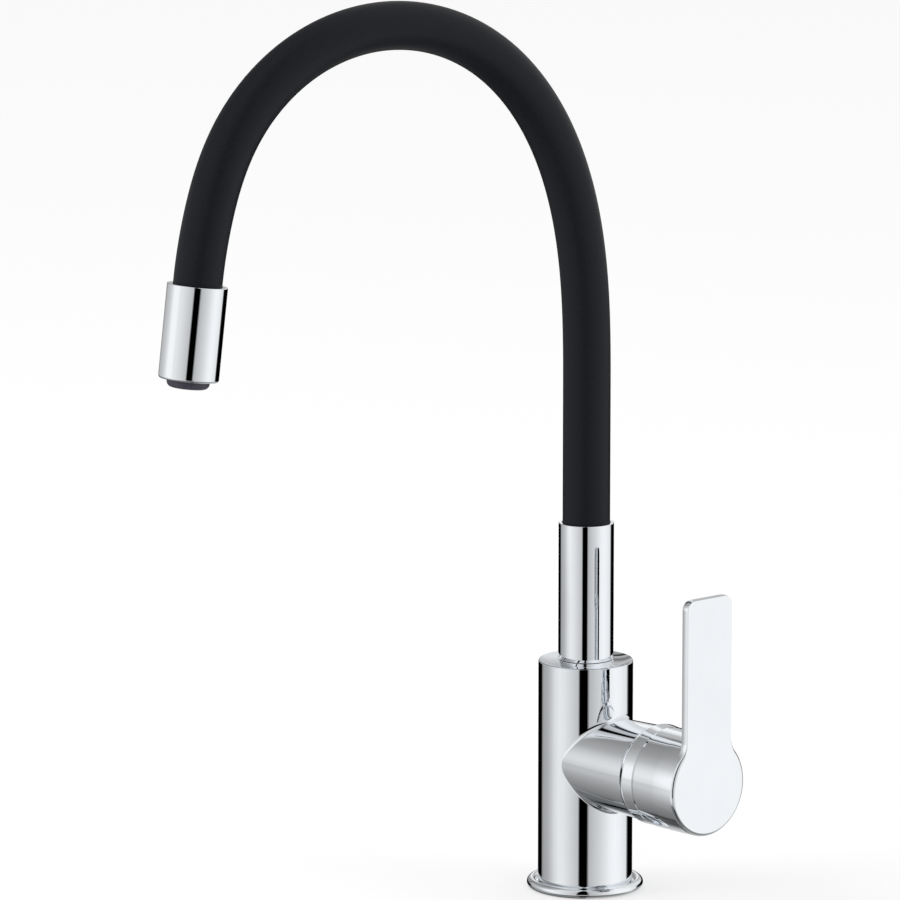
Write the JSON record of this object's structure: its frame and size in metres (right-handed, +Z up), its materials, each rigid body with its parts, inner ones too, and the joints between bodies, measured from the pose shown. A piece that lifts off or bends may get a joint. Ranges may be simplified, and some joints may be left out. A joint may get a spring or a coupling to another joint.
{
  "type": "kitchen faucet",
  "caption": "Deck-mounted single-lever kitchen faucet with a side lever, a swivelling riser and a bendable black hose spout that ends in a chrome outlet head.",
  "frame": {"origin": "centre of the foot on the worktop", "axes": "+X along the side branch towards the lever, -Y towards the user, +Z up"},
  "size_m": [0.1457, 0.2698, 0.4589],
  "materials": {
    "chrome": "polished",
    "black_silicone": "satin",
    "black_rubber": "matte",
    "grey_plastic": "satin",
    "white_plastic": "satin",
    "disc_ceramic": "polished",
    "brass": "machined",
    "steel": "machined"
  },
  "bodies": {
    "mixer": {"mixer_body": "chrome", "base_flange": "chrome", "base_gasket": "black_rubber", "spout_retaining_screw": "steel", "inlet_front_seal": "black_rubber", "inlet_rear_seal": "black_rubber", "outlet_seal": "black_rubber", "cartridge_base": "white_plastic", "cartridge_housing": "white_plastic", "ceramic_disc_fixed": "disc_ceramic", "cartridge_nut": "brass", "dome_cap": "chrome"},
    "temperature_rotor": {"cartridge_rotor": "white_plastic", "stem_pin": "steel"},
    "control_disc": {"ceramic_disc_moving": "disc_ceramic", "disc_carrier": "white_plastic"},
    "lever": {"cartridge_stem": "steel", "lever_handle": "chrome", "lever_set_screw": "steel", "indicator_plug": "white_plastic"},
    "spout": {"swivel_tail": "brass", "swivel_oring_lower": "black_rubber", "swivel_oring_upper": "black_rubber", "swivel_bush": "white_plastic", "spout_collar": "chrome", "riser_sleeve": "chrome", "hose_ferrule_lower": "brass", "hose_sleeve": "black_silicone", "gooseneck_core": "steel", "water_hose": "white_plastic"},
    "spout_head": {"hose_ferrule_upper": "brass", "head_shell": "chrome", "aerator_gasket": "black_rubber", "aerator_housing": "grey_plastic", "aerator_insert": "grey_plastic"}
  },
  "joints": [
    {"name": "spout_swivel", "type": "hinge", "parent": "mixer", "child": "spout", "pos_m": [0, 0, 0.092], "axis": [0, 0, 1], "continuous": true},
    {"name": "spout_flex", "type": "hinge", "parent": "spout", "child": "spout_head", "pos_m": [-0.01662, -0.09423, 0.3784], "axis": [0.9848, -0.1736, 0], "range_deg": [-28, 28], "deforming": ["hose_sleeve", "gooseneck_core", "water_hose"]},
    {"name": "temperature_turn", "type": "hinge", "parent": "mixer", "child": "temperature_rotor", "pos_m": [0.036, 0, 0.06765], "axis": [1, 0, 0], "range_deg": [-45, 45]},
    {"name": "lever_lift", "type": "hinge", "parent": "temperature_rotor", "child": "lever", "pos_m": [0.036, 0, 0.06765], "axis": [0, 1, 0], "range_deg": [0, 24]},
    {"name": "disc_slide", "type": "slide", "parent": "temperature_rotor", "child": "control_disc", "axis": [0, 0, 1], "range_m": [0, 0.0032]}
  ],
  "couplings": [
    {"joint": "disc_slide", "follows": "lever_lift", "m_per_rad": 0.0075}
  ]
}
